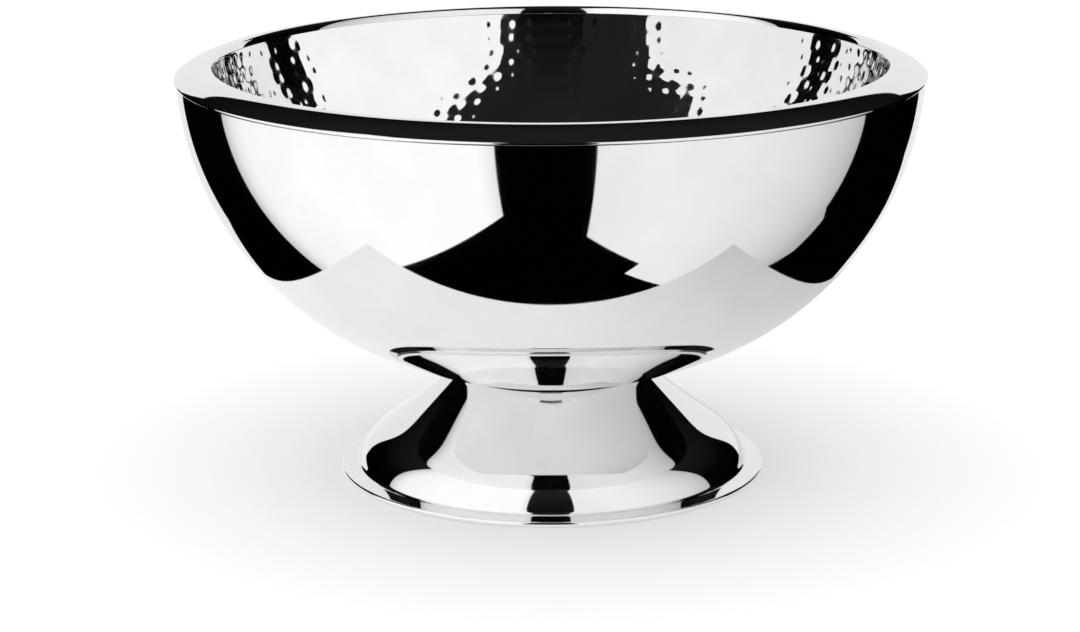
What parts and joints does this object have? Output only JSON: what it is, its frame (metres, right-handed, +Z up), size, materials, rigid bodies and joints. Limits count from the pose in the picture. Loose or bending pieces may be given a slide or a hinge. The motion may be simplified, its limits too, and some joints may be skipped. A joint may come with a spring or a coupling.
{
  "type": "punch bowl",
  "caption": "Double-walled round punch bowl with a mirror-polished outside, a hammered inside, a wide rolled rim and a flared pedestal foot.",
  "frame": {"origin": "centre of the base, on the plane the foot stands on", "axes": "+Z up, along the bowl's axis; the bowl is round, so X and Y are equal"},
  "size_m": [0.43, 0.43, 0.2412],
  "materials": {
    "mirror_steel": "stainless steel sheet polished to a mirror",
    "hammered_steel": "stainless steel sheet hammered all over with small round dimples, then polished",
    "plain_steel": "plain steel, satin as machined",
    "zinc_steel": "zinc-plated steel fastener, slightly dull",
    "black_rubber": "matte black rubber"
  },
  "bodies": {
    "root": {"outer_shell": "mirror_steel", "rim_ring": "mirror_steel", "pedestal_foot": "mirror_steel", "inner_bowl": "hammered_steel", "neck_gasket": "black_rubber", "mounting_disc": "plain_steel", "clamp_washer": "plain_steel", "fixing_stud": "zinc_steel", "lock_washer": "zinc_steel", "hex_nut": "zinc_steel"}
  },
  "joints": []
}
